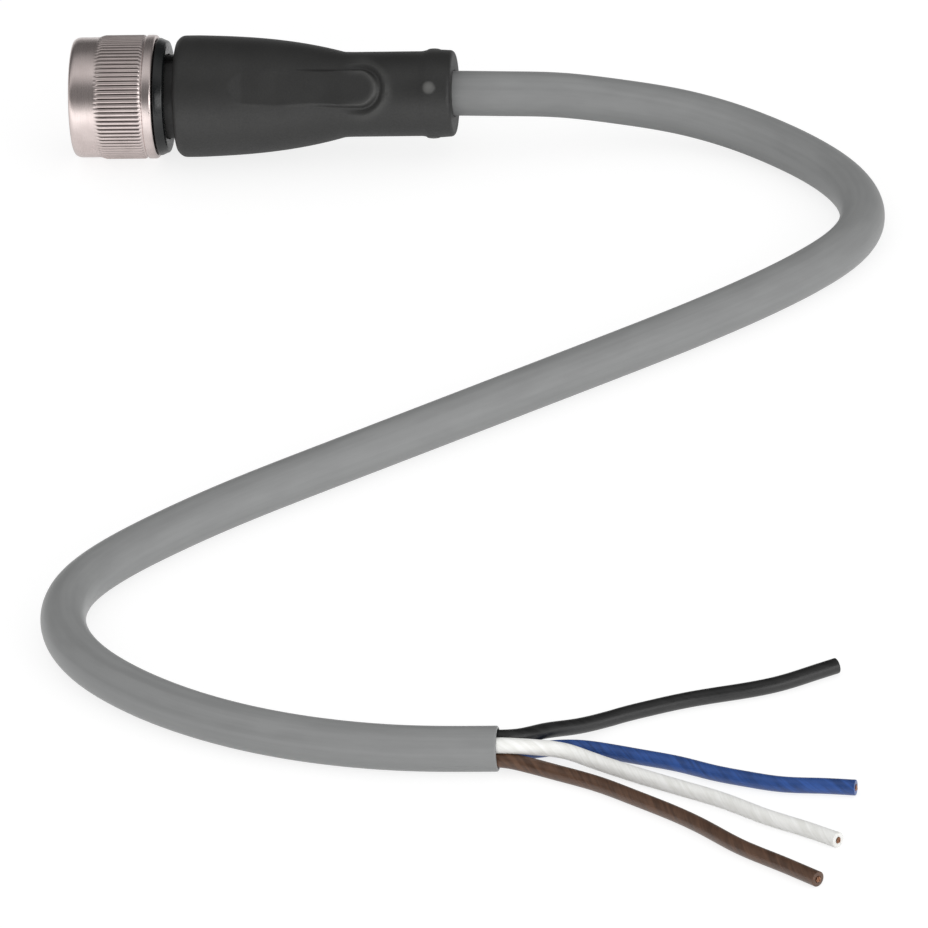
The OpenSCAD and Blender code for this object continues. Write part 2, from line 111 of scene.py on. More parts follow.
def addSurface(name, grid, closedRows=False, straight=None, sharpAngle=38, shares=None):
    # grid[i, j] is row i, column j. Columns always join up; rows join up for a closed section,
    # otherwise the first and the last row shrink to one point each and are closed by a fan.
    rows, columns = grid.shape[:2]
    j = np.arange(columns)
    nextJ = (j + 1) % columns
    if closedRows:
        i = np.arange(rows)[:, None]
        nextI = (i + 1) % rows
        points = grid.reshape(-1, 3)
        quads = np.stack([i * columns + j, i * columns + nextJ,
                          nextI * columns + nextJ, nextI * columns + j], -1).reshape(-1, 4)
        fans = np.empty((0, 3), int)
    else:
        inside = grid[1:-1]
        points = np.concatenate([inside.reshape(-1, 3), grid[:1, 0], grid[-1:, 0]])
        i = np.arange(rows - 3)[:, None]
        quads = np.stack([i * columns + j, i * columns + nextJ,
                          (i + 1) * columns + nextJ, (i + 1) * columns + j], -1).reshape(-1, 4)
        first, last = len(points) - 2, len(points) - 1
        edge = (rows - 3) * columns
        fans = np.concatenate([np.stack([nextJ, j, np.full(columns, first)], -1),
                               np.stack([edge + j, edge + nextJ, np.full(columns, last)], -1)])
    a, b, c, d = (points[quads[:, n]] for n in range(4))
    volume = np.einsum("ij,ij->", np.cross(a, b), c) + np.einsum("ij,ij->", np.cross(a, c), d)
    if volume < 0:  # faces point outwards
        quads, fans = quads[:, ::-1], fans[:, ::-1]
    loops = np.concatenate([quads.ravel(), fans.ravel()]).astype(np.int32)
    starts = np.concatenate([np.arange(len(quads)) * 4, len(quads) * 4 + np.arange(len(fans)) * 3])
    mesh = bpy.data.meshes.new(name)
    mesh.vertices.add(len(points))
    mesh.vertices.foreach_set("co", points.astype(np.float32).ravel())
    mesh.loops.add(len(loops))
    mesh.loops.foreach_set("vertex_index", loops)
    mesh.polygons.add(len(starts))
    mesh.polygons.foreach_set("loop_start", starts.astype(np.int32))
    mesh.update(calc_edges=True)
    mesh.validate()
    mesh.shade_smooth()
    mesh.set_sharp_from_angle(angle=math.radians(sharpAngle))
    if straight is not None:  # where each point of a fanned piece lies before it is bent
        flat = np.concatenate([straight[1:-1].reshape(-1, 3), straight[:1, 0], straight[-1:, 0]])
        layer = mesh.attributes.new("straight", "FLOAT_VECTOR", "POINT")
        layer.data.foreach_set("vector", flat.astype(np.float32).ravel())
    for key, value in (shares or {}).items():  # a number at each point, for the material
        layer = mesh.attributes.new(key, "FLOAT", "POINT")
        layer.data.foreach_set("value", value.astype(np.float32).ravel())
    piece = bpy.data.objects.new(name, mesh)
    bpy.context.scene.collection.objects.link(piece)
    return piece


def dress(piece, material, body, node):
    # the piece gets its material and body, and stands in for one of the frame's solids
    piece.data.materials.clear()
    piece.data.materials.append(material)
    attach(piece, body)
    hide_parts(node)


cameraView = dict(
    azimuth=8.30, elevation=28.0, roll=4.5,
    fieldWidth=108.95 * mm,             # width of the view at the point aimed at
    aimX=54.04 * mm, aimY=-79.47 * mm,  # that point, on the surface
    lens=1700, sensorWidth=36,          # a very long lens: next to no perspective
)


def addCamera():
    # right and up are turned about the line of sight by the roll
    v = cameraView
    a, e, roll = (math.radians(v[k]) for k in ("azimuth", "elevation", "roll"))
    right = Vector((math.cos(a), math.sin(a), 0))
    back = Vector((math.sin(a) * math.cos(e), -math.cos(a) * math.cos(e), math.sin(e)))
    up = back.cross(right)
    rolledRight = right * math.cos(roll) - up * math.sin(roll)
    rolledUp = right * math.sin(roll) + up * math.cos(roll)
    data = bpy.data.cameras.new("camera")
    data.sensor_width = v["sensorWidth"]
    data.lens = v["lens"]
    distance = v["lens"] / v["sensorWidth"] * v["fieldWidth"]
    data.clip_start, data.clip_end = 0.01, distance * 3
    camera = bpy.data.objects.new("camera", data)
    turn = Matrix((rolledRight, rolledUp, back)).transposed().to_4x4()
    place = Vector((v["aimX"], v["aimY"], surfaceZ)) + back * distance
    camera.matrix_world = Matrix.Translation(place) @ turn
    bpy.context.scene.collection.objects.link(camera)
    bpy.context.scene.camera = camera


addCamera()
print("camera placed")

cableShape = dict(
    diameter=5.35, startX=33.03, straightStart=6,  # it starts inside the grip, along the axis
    sheathBore=2.31, bundleDepth=0.8, mouthRound=0.08,  # the hollow at the cut end
    edgeRound=0.22, edgeSteps=5, sides=56, step=0.55,
    # from the grip's rear face: along X, along Y, and the share of the way down to the surface
    route=[[0, 0, 0], [6, 0, 0.03], [12.2, 0.7, 0.16], [19.2, 1.2, 0.42], [26.2, 0.6, 0.64],
           [33.3, -1.6, 0.86], [39.2, -5.3, 0.98], [44.2, -10.1, 1], [47.8, -14.9, 1],
           [50.2, -20.2, 1], [50.9, -25.8, 1], [49.7, -30.8, 1], [46.6, -36.1, 1],
           [40.7, -43.1, 1], [33.9, -49.8, 1], [24.9, -57.8, 1], [14, -67.2, 1],
           [3.2, -76.5, 1], [-7.5, -85.7, 1], [-16.4, -93.6, 1], [-24.2, -101.6, 1],
           [-29.6, -108.4, 1], [-32.5, -114.2, 1], [-33.3, -120.2, 1], [-32.1, -126.4, 1],
           [-29, -132.4, 1], [-24, -138.2, 1], [-17.1, -143.8, 1], [-8.2, -148.8, 1],
           [1.5, -152.2, 1], [11.3, -153.9, 1], [21.5, -154.2, 1]],
)

coreShape = dict(
    diameter=1.86, bundleRadius=1.3352, sides=32, step=0.35,
    lay=8,  # the stranding presses slanting marks into the skins
    edgeRound=0.07, edgeSteps=4,
    recess=0.25, gap=0.02,  # the hollow round the strands at the cut end
    # the conductor and its strands; the strands' radius is a share of their pitch
    conductor=0.8, bareEnd=0.14, strandRoot=0.2, strandSides=10, strandRadius=0.48,
    strandTip=0.38, strandRound=0.03, uneven=0.02,
    # from the cable's cut end: along X, along Y, and the share of the way down
    brown=[[2.9, -1.1, 0.6], [7.3, -2.9, 1], [12.1, -5.6, 1], [16.5, -8.8, 1], [21.2, -12.4, 1],
           [25.5, -16.2, 1], [30.3, -21, 1], [35.2, -24.9, 1], [40.1, -28.9, 1]],
    white=[[1.9, -0.6, 0.1], [4.8, 0.4, 0.4], [7.8, 0.7, 0.66], [10.1, -0.1, 0.82],
           [13.5, -1.9, 0.94], [17.4, -4.1, 1], [22.2, -6.9, 1], [27.5, -10.1, 1],
           [32.8, -14, 1], [37.2, -16.7, 1], [41.5, -19.6, 1]],
    blue=[[1.9, 1.5, 0.4], [4.8, 2.9, 1], [8.2, 3.3, 1], [12.1, 2.4, 1], [16.5, 0.8, 1],
          [21.4, -1.1, 1], [25.1, -3, 1], [29.6, -4.8, 1], [33.9, -6.1, 1], [38.3, -6.5, 1],
          [42.3, -7, 1]],
    black=[[1.9, 1.6, 0.1], [4.8, 4.4, 0.4], [8.2, 7.3, 0.78], [12.1, 10.4, 1], [16.5, 12.8, 1],
           [21.3, 14.9, 1], [27.2, 16.8, 1], [31.1, 18.5, 1], [34.5, 20.8, 1], [37.1, 22.6, 1]],
    clock=dict(brown=-135, white=135, blue=-45, black=45),
)


def tubeProfile(shape, length):
    # rows of (distance, radius) in metres for a tube with rounded ends: each edge is a quarter
    # circle, distance = e (1 - cos q), radius = r - e (1 - sin q)
    radius, edge = shape["diameter"] / 2 * mm, shape["edgeRound"] * mm
    q = np.linspace(0, math.pi / 2, shape["edgeSteps"])
    nearEdge = np.stack([edge * (1 - np.cos(q)), radius - edge * (1 - np.sin(q))], -1)
    farEdge = nearEdge[::-1] * [-1, 1] + [length, 0]
    along = np.linspace(edge * 1.4, length - edge * 1.4, int(length / (shape["step"] * mm)))
    skin = np.stack([along, np.full(len(along), radius)], -1)
    return np.concatenate([[[0, 0]], nearEdge, skin, farEdge])


def tubeSurface(name, line, stations, sides, lay=None):
    # a profile carried along a path: at distance s the ring is
    # centre(s) + r (cos a * side + sin a * lift), side = way x up, lift = side x way;
    # lay is the length in which the marks on its skin wind once round it
    along = np.concatenate([[0], np.cumsum(np.linalg.norm(np.diff(line, axis=0), axis=1))])
    way = np.gradient(line, axis=0)
    way /= np.linalg.norm(way, axis=1)[:, None]
    at, radius = stations.T
    centre = np.stack([np.interp(at, along, line[:, n]) for n in range(3)], -1)
    t = np.stack([np.interp(at, along, way[:, n]) for n in range(3)], -1)
    t /= np.linalg.norm(t, axis=1)[:, None]
    side = np.cross(t, [0, 0, 1.0])
    side /= np.linalg.norm(side, axis=1)[:, None]
    lift = np.cross(side, t)
    a = np.arange(sides) / sides * 2 * np.pi
    spoke = np.cos(a)[None, :, None] * side[:, None] + np.sin(a)[None, :, None] * lift[:, None]
    grid = centre[:, None] + radius[:, None, None] * spoke
    wound = a + (2 * np.pi / lay if lay else 0) * at[:, None]
    straight = np.stack([np.broadcast_to(at[:, None], grid.shape[:2]),
                         radius[:, None] * np.cos(wound), radius[:, None] * np.sin(wound)], -1)
    return addSurface(name, grid, straight=straight)


def cableLine():
    # route points in millimetres: X and Y from the grip's rear face, Z the route's share of the
    # height at which the cable rests; a smooth line through them that never dips below that
    s = cableShape
    route = np.array(s["route"])
    restZ = surfaceZ / mm + s["diameter"] / 2
    points = np.stack([gripEnd / mm + route[:, 0], route[:, 1], restZ * route[:, 2]], -1)
    inGrip = [[s["startX"], 0, 0], [s["startX"] + s["straightStart"], 0, 0]]
    line = smoothLine(np.concatenate([inGrip, points]), [1, 0, 0], [1, 0, 0], s["step"])
    line[:, 2] = np.maximum(line[:, 2], restZ)
    return line * mm


def buildCable():
    # a rounded tube along the cable's line, hollow for a little way at its cut end
    s = cableShape
    line = cableLine()
    length = np.linalg.norm(np.diff(line, axis=0), axis=1).sum()
    bore, mouth = s["sheathBore"] * mm, s["mouthRound"] * mm
    depth = s["bundleDepth"] * mm
    hollow = [[length, bore + 0.75 * mouth], [length - mouth, bore], [length - depth, bore],
              [length - depth, 0]]
    stations = np.concatenate([tubeProfile(s, length), hollow])
    return tubeSurface("cableSheath", line, stations, s["sides"]), line, length


def coreLine(colour, cutEnd):
    # the core starts down inside the cut end, then follows its own route: X and Y from the cut
    # end, Z the route's share of the way down from its start to where it rests
    s = coreShape
    clock = math.radians(s["clock"][colour])
    start = np.array([cutEnd[0], cutEnd[1] + s["bundleRadius"] * math.cos(clock),
                      cutEnd[2] + s["bundleRadius"] * math.sin(clock)])
    restZ = surfaceZ / mm + s["diameter"] / 2
    route = np.array(s[colour])
    points = start + np.stack([route[:, 0], route[:, 1] - (start[1] - cutEnd[1]),
                               (restZ - start[2]) * route[:, 2]], -1)
    inside = start - [cableShape["bundleDepth"] - 0.02, 0, 0]  # just clear of the hollow's floor
    points = np.concatenate([[inside, start], points])
    tipWay = points[-1] - points[-2]
    line = smoothLine(points, [1, 0, 0], tipWay / np.linalg.norm(tipWay), s["step"])
    line[:, 2] = np.maximum(line[:, 2], restZ)
    return line * mm


def buildCore(colour, cutEnd):
    # a rounded tube along the core's line, with a shallow hollow round the strands
    s = coreShape
    line = coreLine(colour, cutEnd)
    length = np.linalg.norm(np.diff(line, axis=0), axis=1).sum()
    bore, depth = (s["conductor"] / 2 + s["gap"]) * mm, s["recess"] * mm
    hollow = [[length, bore], [length - depth, bore], [length - depth, 0]]
    stations = np.concatenate([tubeProfile(s, length), hollow])
    core = tubeSurface(colour + "Core", line, stations, s["sides"], s["lay"] * mm)
    return core, line, length


def buildStrands(colour, line):
    # nineteen plain copper strands in a hexagonal pack, rows of 3, 4, 5, 4 and 3: each is a
    # short rod, tip + side u + up v + way reach + width (cos a * side + sin a * up), and the cut
    # leaves their ends a little uneven
    s = coreShape
    pitch, root, bare = s["conductor"] / 5 * mm, s["strandRoot"] * mm, s["bareEnd"] * mm
    counts = [3, 4, 5, 4, 3]
    rows = np.repeat([-2, -1, 0, 1, 2], counts)
    order = np.concatenate([np.arange(n) - (n - 1) / 2 for n in counts])
    across, high = order * pitch, rows * pitch * math.sqrt(3) / 2
    tip, way, up = line[-1], line[-1] - line[-3], np.array([0, 0, 1.0])
    way = way / np.linalg.norm(way)
    side = np.cross(way, up)
    a = np.arange(s["strandSides"]) / s["strandSides"] * 2 * np.pi
    ring = np.cos(a)[None, :, None] * side + np.sin(a)[None, :, None] * up
    reach = np.array([-root, -root, bare - s["strandRound"] * mm, bare, bare])
    width = np.array([0, s["strandRadius"], s["strandRadius"], s["strandTip"], 0]) * pitch
    pieces = []
    for n, (u, v) in enumerate(zip(across, high)):
        cut = np.array([0, 0, 1, 1, 1]) * (n * 7 % 5) * s["uneven"] * mm
        grid = (tip + side * u + up * v + (reach - cut)[:, None, None] * way
                + width[:, None, None] * ring)
        pieces.append(addSurface(f"{colour}Strand{n}", grid))
    return pieces


def joinPieces(name, pieces):
    # one object of them all, under one name
    with bpy.context.temp_override(active_object=pieces[0], selected_editable_objects=pieces,
                                   selected_objects=pieces, object=pieces[0]):
        bpy.ops.object.join()
    pieces[0].name = name
    pieces[0].data.name = name
    return pieces[0]


cable, cablePath, cableLength = buildCable()
cutEnd = cablePath[-1] / mm
cores = {c: buildCore(c, cutEnd) for c in ("brown", "white", "blue", "black")}
strands = {c: joinPieces(c + "Strands", buildStrands(c, cores[c][1])) for c in cores}
print("cable", round(cableLength, 4), "m, cores",
      {c: round(float(v[2]), 4) for c, v in cores.items()})

nutShape = dict(
    radius=7.37, bandRadius=7.15, x0=-0.7, x1=9.3,
    knurlFrom=2.2, knurlTo=7.7, slope=1.0, knurlDepth=0.16, ridges=84, perRidge=8,
    crestShare=0.42,  # how much of each ridge is a flat crest
    threadPitch=1.0, threadCrest=5.46, threadRoot=6.0, threadFrom=5.4,
    threadFlat=0.18, threadFlank=0.7,  # shares of half a pitch
    relief=6.05,  # behind the thread
    shoulderFrom=7.4, shoulderTo=8.3, shoulderBore=5.05,  # what the retaining ring holds
    counterbore=6.32, beadX=8.975, snapDepth=0.15,  # where the detent ring snaps in
)


def turned(x, radius, columns):
    # revolve about X: y = r sin q, z = -r cos q, so column 0 is the lowest line; x and radius
    # are in millimetres, with a row for each station
    q = np.arange(columns) / columns * 2 * np.pi
    x, radius = x + 0 * q, radius + 0 * q
    return np.stack([x, radius * np.sin(q), -radius * np.cos(q)], -1) * mm


def buildNut():
    # outside: profile radius less a ridge wave; inside: bore radius plus a helical thread wave
    s = nutShape
    r, band, x0, x1 = s["radius"], s["bandRadius"], s["x0"], s["x1"]
    rise, end, crest = s["knurlFrom"], s["knurlTo"], s["threadCrest"]
    outside = [[x0, crest + 0.56], [x0, crest + 0.84], [x0, band - 0.49],
               [x0 + 0.05, band - 0.36], [x0 + 0.14, band - 0.25], [x0 + 0.3, band - 0.14],
               [x0 + 0.5, band - 0.05], [x0 + 0.72, band - 0.01], [x0 + 1.0, band]]
    outside += [[x, band] for x in np.linspace(x0 + 1.4, rise, 6)]
    outside += [[rise + s["slope"] * t, band + (r - band) * (0.5 - 0.5 * math.cos(math.pi * t))]
                for t in np.linspace(0.1, 1, 10)]
    outside += [[x, r] for x in np.linspace(rise + s["slope"] + 0.2, end - 0.15, 14)]
    outside += [[end, r - 0.02], [end + 0.1, r - 0.08], [end + 0.2, r - 0.17],
                [end + 0.28, r - 0.21], [end + 0.36, r - 0.2], [end + 0.44, r - 0.1],
                [end + 0.52, r - 0.01], [end + 0.6, r], [end + 0.8, r], [x1 - 0.34, r],
                [x1 - 0.27, r - 0.01], [x1 - 0.19, r - 0.03], [x1 - 0.11, r - 0.08],
                [x1 - 0.05, r - 0.14], [x1 - 0.01, r - 0.22], [x1, r - 0.32]]
    bore, groove, bead = s["counterbore"], s["counterbore"] + s["snapDepth"], s["beadX"]
    hole, front, rear = s["shoulderBore"], s["shoulderFrom"], s["shoulderTo"]
    hollow, start = s["relief"], s["threadFrom"]
    inside = [[x1, bore + 0.04], [x1 - 0.03, bore + 0.01], [x1 - 0.08, bore],
              [bead + 0.24, bore], [bead + 0.1, groove], [bead - 0.1, groove],
              [bead - 0.24, bore], [rear + 0.03, bore], [rear, bore - 0.03],
              [rear, hole + 0.05], [rear - 0.03, hole], [front + 0.05, hole],
              [front, hole + 0.05], [front, hollow - 0.02], [front - 0.04, hollow],
              [start + 1.0, hollow], [start + 0.2, hollow], [start + 0.02, hollow - 0.07]]
    thread = [[x, crest] for x in np.linspace(start - 0.1, x0 + 0.6, 62)]
    lead = [[x0 + 0.5, crest + 0.01], [x0 + 0.35, crest + 0.16], [x0 + 0.2, crest + 0.31],
            [x0 + 0.08, crest + 0.43], [x0 + 0.02, crest + 0.5]]
    stations = np.array(outside + inside + thread + lead)
    x, radius = stations[:, :1], stations[:, 1:]
    isOutside = np.arange(len(stations))[:, None] < len(outside)
    columns = s["ridges"] * s["perRidge"]
    q = np.arange(columns) / columns
    # ridge wave: 0 on a flat crest and 1 in a root, a narrow groove between two crests
    wave = np.abs((q * s["ridges"]) % 1 - 0.5) * 2
    knurl = np.clip((radius - band) / (r - band), 0, 1) * (x < end + 0.3) * isOutside
    root = knurl * np.clip((wave - s["crestShare"]) / (1 - s["crestShare"]), 0, 1) ** 1.2
    # thread wave: a 60 degree triangle of the distance along X less the lead of the turn
    tri = np.abs((x / s["threadPitch"] - q) % 1 - 0.5) * 2
    depth = np.clip((tri - s["threadFlat"]) / s["threadFlank"], 0, 1) * (s["threadRoot"] - crest)
    fade = np.clip((start - x) / 0.5, 0, 1) * np.clip((x - x0 - 0.05) / 0.3, 0, 1) * ~isOutside
    radius = np.where(fade > 0, np.maximum(radius, crest + depth * fade), radius)
    # the root share also goes to the material, which paints shade into the grooves with it
    return addSurface("knurledNut", turned(x, radius - root * s["knurlDepth"], columns),
                      closedRows=True, sharpAngle=50,
                      shares={"root": root, "knurl": np.broadcast_to(knurl, root.shape)})


nut = buildNut()
print("nut made,", len(nut.data.polygons), "faces")

ringShape = dict(front=6.99, rear=6.71, x0=9.4, x1=10.6, bore=5.095, columns=192,
                 collar=6.25, collarLength=0.75, bead=0.15)


def buildRing():
    # rows of (x, radius) turned about X: a flat front, a soft fall to the rear edge, the bore,
    # and a collar with a snap bead
    s = ringShape
    x0, x1, front, rear = s["x0"], s["x1"], s["front"], s["rear"]
    bore, collar, bead, foot = s["bore"], s["collar"], s["bead"], x0 - s["collarLength"]
    stations = np.array([
        [x0, collar + 0.03], [x0, front - 0.12], [x0 + 0.03, front - 0.05], [x0 + 0.1, front],
        [x0 + 0.25, front], [x0 + 0.36, front - 0.02], [x1 - 0.4, rear + 0.05],
        [x1 - 0.25, rear], [x1 - 0.12, rear - 0.05], [x1 - 0.04, rear - 0.13],
        [x1, rear - 0.24], [x1, rear - 0.6], [x1, bore + 0.12], [x1 - 0.04, bore + 0.03],
        [x1 - 0.12, bore], [x0 + 0.4, bore], [foot + 0.15, bore], [foot + 0.02, bore + 0.04],
        [foot, bore + 0.1], [foot, collar - 0.12], [foot + 0.03, collar - 0.05],
        [foot + 0.1, collar], [foot + 0.175, collar], [foot + 0.25, collar + 0.1],
        [foot + 0.325, collar + bead], [foot + 0.4, collar + 0.1], [foot + 0.475, collar],
        [x0 - 0.05, collar]])
    grid = turned(stations[:, :1], stations[:, 1:], s["columns"])
    return addSurface("detentRing", grid, closedRows=True)


ring = buildRing()
print("ring made,", len(ring.data.polygons), "faces")

gripShape = dict(
    x0=11.75, x1=44.85, radius=7.24, frontEdge=1.1, frontRound=0.6, shoulder=2.6,
    waist=5.08, waistFrom=19.95, waistFall=0.03,
    # the rear band rises, stays level up to bandLevel and falls a little to its rounded end
    bandRadius=5.25, bandLength=4.0, bandRise=1.2, bandLevel=1.9, bandFall=0.1, rearRound=0.5,
    # inside: the bores for the cable and the carrier, and the room for the inner mould
    cableBore=2.75, carrierBore=3.83, mouldFrom=13.0, mouldTo=33.03, mouldRadius=4.38,
    mouldRear=3.43,
    # the neck that the nut and the ring sit on, with a groove above and below for the keys
    neck=4.975, neckFrom=7.33, grooveFrom=9.3, grooveHalf=0.82, grooveDepth=0.52,
    padClock=36, padHalfWidth=2.3, padFrom=5.9, padTip=24.6, padEdge=0.6,
    footDepth=0.14, lipHeight=0.26, lipFrom=4.6,  # a groove and a low lip round the pads' tips
    # the pads' flats and the outline that trims their long edges: distance from the grip's
    # front, height of the flat over the axis, radius of the outline
    padLine=[[6, 7.24, 7.11], [8.3, 6.72, 7.0], [10.33, 6.52, 6.9], [12.3, 6.19, 6.72],
             [16.24, 5.84, 6.28], [18.2, 5.64, 6.12], [20.17, 5.55, 5.93], [24.6, 5.29, 5.73]],
    dots=4, dotX=1.5, dotRadius=0.8, dotHeight=0.14,
    # rows of points along the body: distance from the grip's front, from and to, and how many
    rows=[(2.3, 5.5, 8), (5.9, 8.9, 16), (9.3, 18.4, 22), (18.8, 21.6, 12), (21.8, 25.0, 34),
          (25.4, 28.9, 10), (29.1, 32.58, 34)],
    columns=400,
)


def ramp(value, start, length):
    # 0 up to start, then straight up to 1 over the length
    return np.clip((value - start) / length, 0, 1)


def smooth(t):
    # an s-shaped step from 0 to 1: 3 t^2 - 2 t^3
    return t * t * (3 - 2 * t)


def angleFrom(angle, clock):
    # how far an angle is from a clock position in degrees, within half a turn either way
    return (angle - math.radians(clock) + np.pi) % (2 * np.pi) - np.pi


def bodyRadius(x):
    # full front, then a taper r = front - fall (0.25 t + 0.75 t^2.6), a waist and a rear band
    s = gripShape
    bandFrom = s["x1"] - s["bandLength"]
    t = ramp(x, s["x0"] + s["shoulder"], s["waistFrom"] - s["shoulder"])
    r = s["radius"] - (s["radius"] - s["waist"]) * (0.25 * t + 0.75 * t ** 2.6)
    r = r - s["waistFall"] * ramp(x, s["x0"] + s["waistFrom"], 1)
    bandHeight = s["bandRadius"] - s["waist"] + s["waistFall"]
    r = r + bandHeight * smooth(ramp(x, bandFrom, s["bandRise"]))
    fallLength = s["bandLength"] - s["bandLevel"] - s["rearRound"]
    r = r - s["bandFall"] * ramp(x, bandFrom + s["bandLevel"], fallLength)
    return r - s["frontRound"] * (1 - ramp(x, s["x0"], s["frontEdge"])) ** 2.6


def padSurface(x, angle, base):
    # inside an outline of two straight sides and a half circle at the tip the body gives way to
    # a flat, r = height / cos(angle off its middle), with an edge that falls as a smooth step;
    # outside it, near the tip, a groove exp(-(d / 0.2)^2) and a lip that rises fast and fades.
    # The second result is how much painted highlight the surface gets on the pads' rounded edges
    # and the lips near the tip.
    s = gripShape
    along, height, trim = np.array(s["padLine"]).T
    flat, outline = np.interp(x, s["x0"] + along, height), np.interp(x, s["x0"] + along, trim)
    tip = s["x0"] + s["padTip"]
    atTip = ramp(x, tip - s["lipFrom"], 2.5)
    result, paintedHighlight = base, 0 * base
    for clock in (s["padClock"], s["padClock"] + 180):
        off = angleFrom(angle, clock)
        near = np.abs(off) < 1.2
        top = np.where(near, np.minimum(flat / np.cos(np.where(near, off, 0)), outline), base)
        across = np.where(near, base * np.sin(off), 99)  # 99: on the far side, out of reach
        beyond = np.maximum(x - (tip - s["padHalfWidth"]), 0)
        inside = s["padHalfWidth"] - np.hypot(across, beyond)
        edge = ramp(inside, 0, s["padEdge"]) * ramp(x, s["x0"] + s["padFrom"], 0.3)
        lip = smooth(ramp(-inside, 0.3, 0.5)) * (1 - ramp(-inside, 0.8, 1.1)) ** 1.5
        foot = np.exp(-((inside + 0.15) / 0.2) ** 2)
        result = (result + (top - base) * smooth(edge)
                  + (s["lipHeight"] * lip - s["footDepth"] * foot) * atTip)
        # painted highlight on the pad's rounded edge and on the lip beyond it
        paintedHighlight = paintedHighlight + atTip * (0.3 * np.exp(-((inside - 0.5) / 0.35) ** 2)
                                   + 0.2 * np.exp(-((inside + 1.0) / 0.4) ** 2))
    return result, paintedHighlight


def buildGrip():
    # rows of (x, radius) for the outside, the rear edge and face, the bores and the neck, turned
    # about X after the pads, dots and grooves have changed the radius
    s = gripShape
    x0, x1, neck, cord = s["x0"], s["x1"], s["neck"], s["cableBore"]
    frontRows = [0.0, 0.03, 0.08, 0.15, 0.25, 0.37, 0.5, 0.65, 0.85, 1.1, 1.4, 1.8]
    bodyX = x0 + np.concatenate([frontRows] + [np.linspace(*row) for row in s["rows"]])
    outer = np.stack([bodyX, bodyRadius(bodyX)], -1)
    q = np.linspace(0.1, math.pi / 2, 6)
    endR = bodyRadius(x1 - s["rearRound"])
    corner = np.stack([x1 - s["rearRound"] * (1 - np.sin(q)),
                       endR - s["rearRound"] * (1 - np.cos(q))], -1)
    face = np.array([[x1, endR - 0.9], [x1, cord + 0.65], [x1, cord + 0.2],
                     [x1 - 0.04, cord + 0.08], [x1 - 0.12, cord + 0.02], [x1 - 0.25, cord]])
    front, rear, wide, narrow = s["mouldFrom"], s["mouldTo"], s["mouldRadius"], s["mouldRear"]
    hole, start = s["carrierBore"], s["neckFrom"]
    bore = np.array([[x1 - 4.85, cord], [rear + 0.02, cord], [rear, cord + 0.05],
                     [rear, narrow - 0.03], [rear - 0.03, narrow], [rear - 3, narrow],
                     [front + 4.03, wide], [front + 0.05, wide], [front, wide - 0.04],
                     [front, hole + 0.03], [front - 0.05, hole], [start + 0.07, hole],
                     [start, hole + 0.07], [start, neck - 0.075], [start + 0.03, neck]])
    neckX = s["grooveFrom"] + np.array([-1.7, -0.8, -0.1, -0.02, 0.02, 0.3, 0.9, 1.6,
                                        2.1, 2.3, 2.38])
    neckRows = np.stack([neckX, np.full(len(neckX), neck)], -1)
    foot = np.array([[x0 - 0.02, neck + 0.03], [x0, neck + 0.09], [x0, neck + 0.525],
                     [x0, neck + 1.225]])
    stations = np.concatenate([outer, corner, face, bore, neckRows, foot])
    q = np.arange(s["columns"]) / s["columns"] * 2 * np.pi
    angle = (1.5 * np.pi - q) % (2 * np.pi)  # from the near side upwards
    x, r = stations[:, :1] + 0 * q, stations[:, 1:] + 0 * q
    highlightShare = 0 * r
    n = len(outer)
    r[:n], highlightShare[:n] = padSurface(x[:n], angle, r[:n])
    # dots: a low dome, height times (1 - (distance / radius)^2.6)^0.7
    for k in range(s["dots"]):
        off = angleFrom(angle, s["padClock"] + 360 / s["dots"] * k)
        away = np.hypot(x[:n] - (x1 - s["bandLength"] + s["dotX"]), s["bandRadius"] * off)
        dome = np.clip(1 - (away / s["dotRadius"]) ** 2.6, 0, 1)
        top = s["bandRadius"] + s["dotHeight"] * dome ** 0.7
        r[:n] = np.where(dome > 0, np.maximum(r[:n], top), r[:n])
        # the dots get painted highlight too, most at the dome's top
        highlightShare[:n] = np.maximum(highlightShare[:n], dome)
    # the two grooves in the neck have steep sides, where neck |sin q| passes half their width
    first = n + len(corner) + len(face) + len(bore)
    rows = slice(first, first + len(neckRows))
    sideways = neck * np.abs(np.sin(q))
    depth = np.clip((s["grooveHalf"] + 0.04 - sideways) / 0.06, 0, 1) * s["grooveDepth"]
    r[rows] -= depth * (x[rows] > s["grooveFrom"])
    return addSurface("mouldedGrip", turned(x, r, s["columns"]), closedRows=True, sharpAngle=40,
                      shares={"highlightShare": highlightShare})


grip = buildGrip()
print("grip made,", len(grip.data.polygons), "faces")


def pattern(tree, cellMm, detail=2.0, stretch=(1, 1, 1), attribute=None):
    # noise whose cells are cellMm wide on the object, drawn out along an axis by stretch; its
    # place in metres, Object's or an attribute's, is scaled to cells by 1 / (cell mm)
    if attribute:
        place = addNode(tree, "ShaderNodeAttribute", attribute_name=attribute).outputs["Vector"]
    else:
        place = addNode(tree, "ShaderNodeTexCoord").outputs["Object"]
    cells = addNode(tree, "ShaderNodeMapping", {"Scale": [1 / mm / cellMm / k for k in stretch]},
                    {"Vector": place}).outputs["Vector"]
    return addNode(tree, "ShaderNodeTexNoise", {"Scale": 1.0, "Detail": detail},
                   {"Vector": cells}).outputs["Fac"]


def finishSurface(tree, shader, tone, grain, roughness, depthMm, added=None):
    # the tone is the colour; the grain spreads the roughness from the first to the second of its
    # pair, with what is added on top, and stands up by depthMm
    rough = addNode(tree, "ShaderNodeMapRange", {"From Min": 0.3, "From Max": 0.7,
                    "To Min": roughness[0], "To Max": roughness[1]}, {"Value": grain}).outputs[0]
    if added:
        rough = addNode(tree, "ShaderNodeMath", None, {0: rough, 1: added},
                        operation="ADD").outputs[0]
    bump = addNode(tree, "ShaderNodeBump", {"Strength": 1.0, "Distance": depthMm * mm},
                   {"Height": grain})
    for socket, source in (("Base Color", tone), ("Roughness", rough),
                           ("Normal", bump.outputs["Normal"])):
        tree.links.new(source, shader.inputs[socket])


